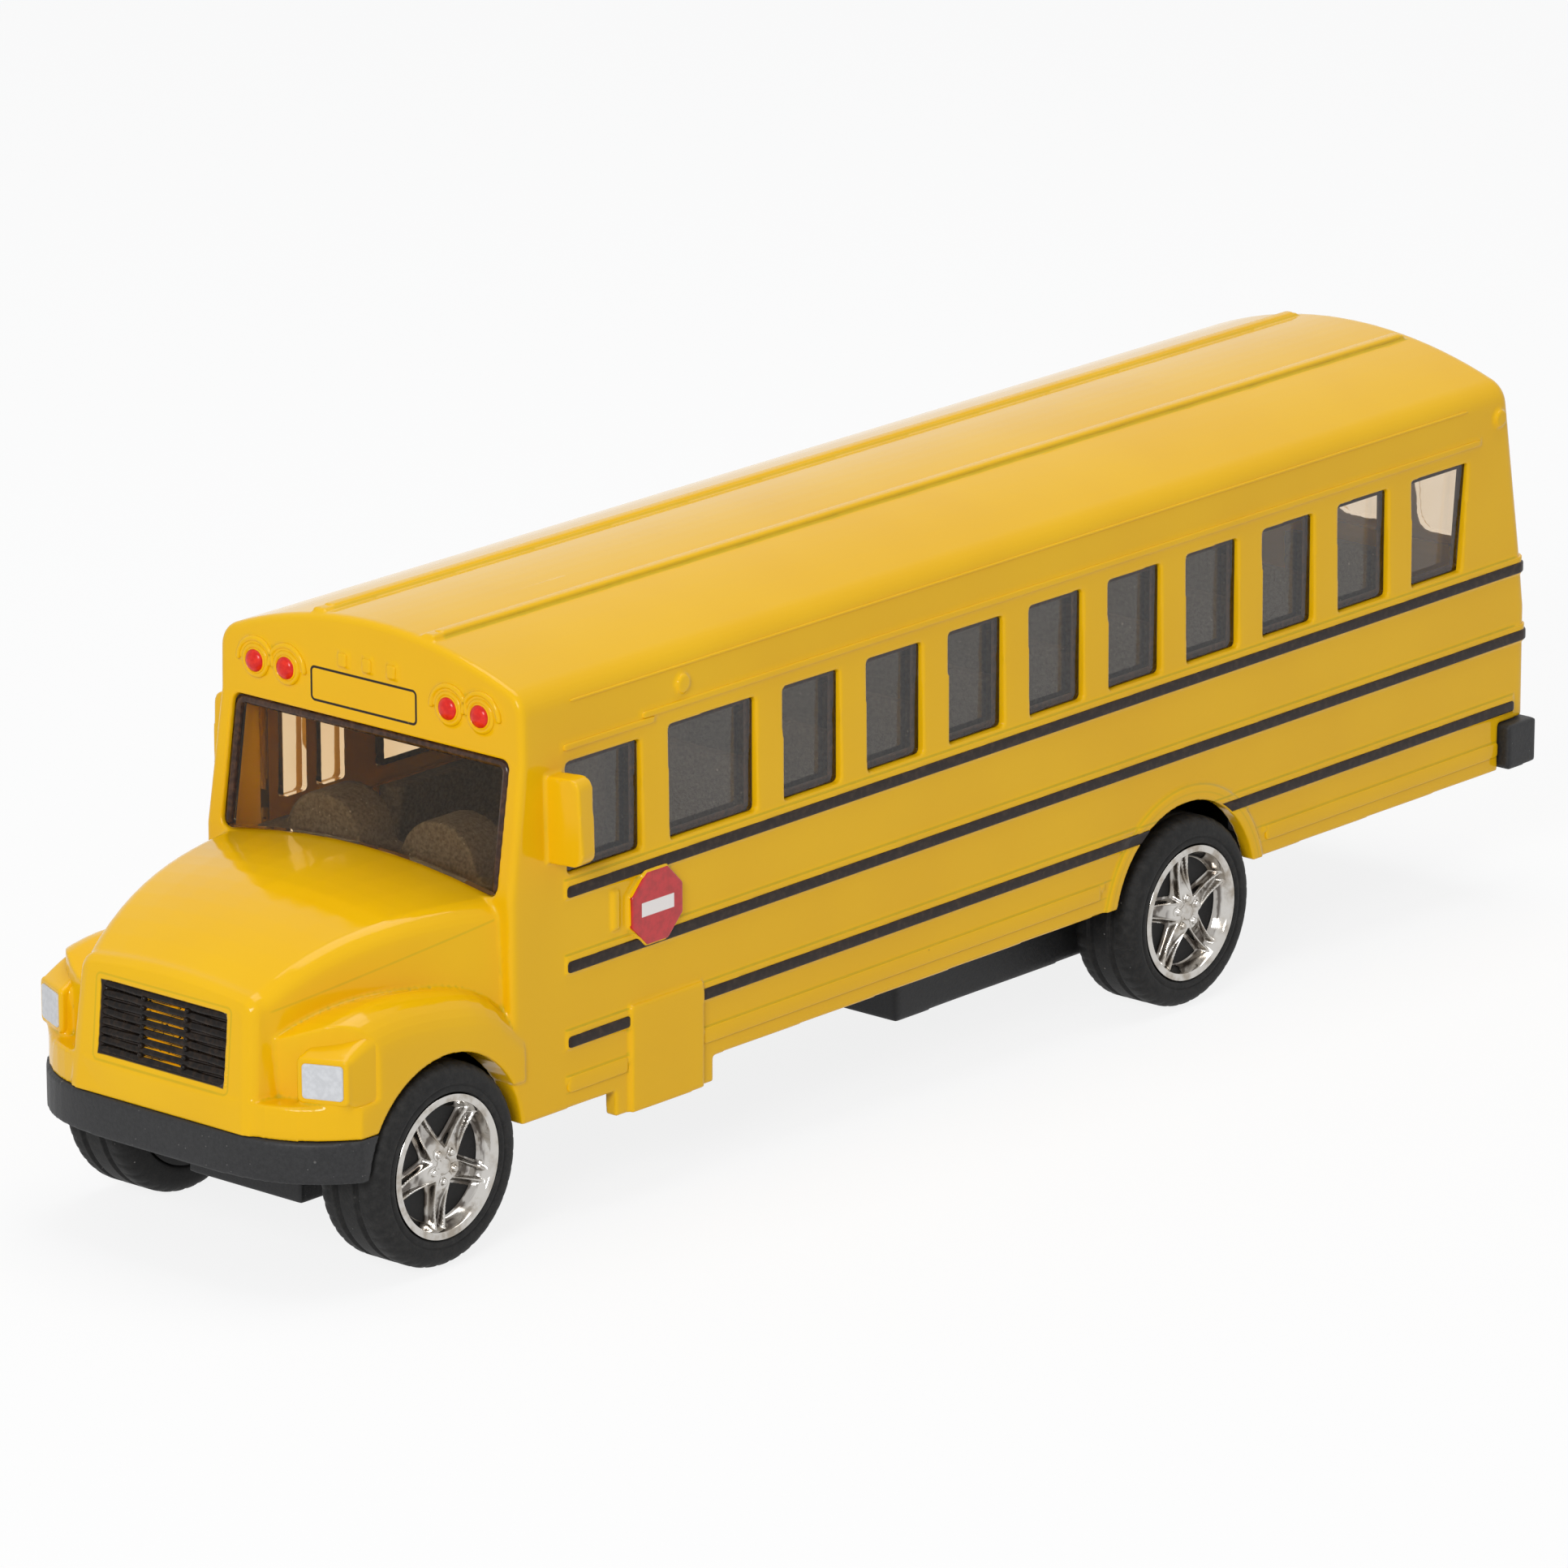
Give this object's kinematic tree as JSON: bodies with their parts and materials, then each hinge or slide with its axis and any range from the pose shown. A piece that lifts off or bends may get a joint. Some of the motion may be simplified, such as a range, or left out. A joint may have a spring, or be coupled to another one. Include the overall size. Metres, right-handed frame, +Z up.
{
  "type": "toy bus",
  "caption": "Long-nosed toy bus with a cast body, smoked windows, free-rolling wheelsets and a geared pull-back motor in its base.",
  "frame": {"origin": "middle of the footprint at the level the tyres stand on", "axes": "+Y towards the tail, +X towards the driver's side, +Z up"},
  "size_m": [0.0426, 0.165, 0.0527],
  "materials": {
    "yellow_paint": "gloss",
    "smoked_glazing": "gloss",
    "grey_plastic": "matte",
    "black_plastic": "matte",
    "tyre_rubber": "matte",
    "chrome_plating": "mirror",
    "steel": "satin",
    "spring_steel": "satin",
    "gear_plastic": "matte"
  },
  "bodies": {
    "bus_body": {"body_casting": "yellow_paint", "windscreen_glazing": "smoked_glazing", "left_window_strip": "smoked_glazing", "right_window_strip": "smoked_glazing", "rear_glazing": "smoked_glazing", "cabin_interior": "grey_plastic", "chassis_base": "black_plastic", "chassis_screws": "steel", "motor_case": "black_plastic", "motor_lid": "grey_plastic", "mainspring": "spring_steel", "gear_pins": "steel"},
    "front_wheelset": {"front_axle": "steel", "tyre_front_left": "tyre_rubber", "tyre_front_right": "tyre_rubber", "core_front_left": "black_plastic", "core_front_right": "black_plastic", "rim_front_left": "chrome_plating", "rim_front_right": "chrome_plating"},
    "rear_wheelset": {"rear_axle": "steel", "drive_pinion": "gear_plastic", "tyre_rear_left": "tyre_rubber", "tyre_rear_right": "tyre_rubber", "core_rear_left": "black_plastic", "core_rear_right": "black_plastic", "rim_rear_left": "chrome_plating", "rim_rear_right": "chrome_plating"},
    "gear_a": {"reduction_gear_a": "gear_plastic"},
    "gear_b": {"reduction_gear_b": "gear_plastic"},
    "winding_gear": {"spring_gear": "gear_plastic"}
  },
  "joints": [
    {"name": "front_axle_spin", "type": "hinge", "parent": "bus_body", "child": "front_wheelset", "pos_m": [0, -0.06649, 0.0088], "axis": [1, 0, 0], "continuous": true},
    {"name": "rear_axle_spin", "type": "hinge", "parent": "bus_body", "child": "rear_wheelset", "pos_m": [0, 0.03203, 0.0088], "axis": [1, 0, 0], "continuous": true},
    {"name": "gear_a_spin", "type": "hinge", "parent": "bus_body", "child": "gear_a", "pos_m": [0, 0.02434, 0.01135], "axis": [1, 0, 0], "continuous": true},
    {"name": "gear_b_spin", "type": "hinge", "parent": "bus_body", "child": "gear_b", "pos_m": [0, 0.01624, 0.01121], "axis": [1, 0, 0], "continuous": true},
    {"name": "winding_spin", "type": "hinge", "parent": "bus_body", "child": "winding_gear", "pos_m": [0, 0.00814, 0.01107], "axis": [1, 0, 0], "continuous": true}
  ],
  "couplings": [
    {"joint": "gear_a_spin", "follows": "rear_axle_spin", "ratio": -0.5},
    {"joint": "gear_b_spin", "follows": "rear_axle_spin", "ratio": 0.25},
    {"joint": "winding_spin", "follows": "rear_axle_spin", "ratio": -0.125}
  ]
}
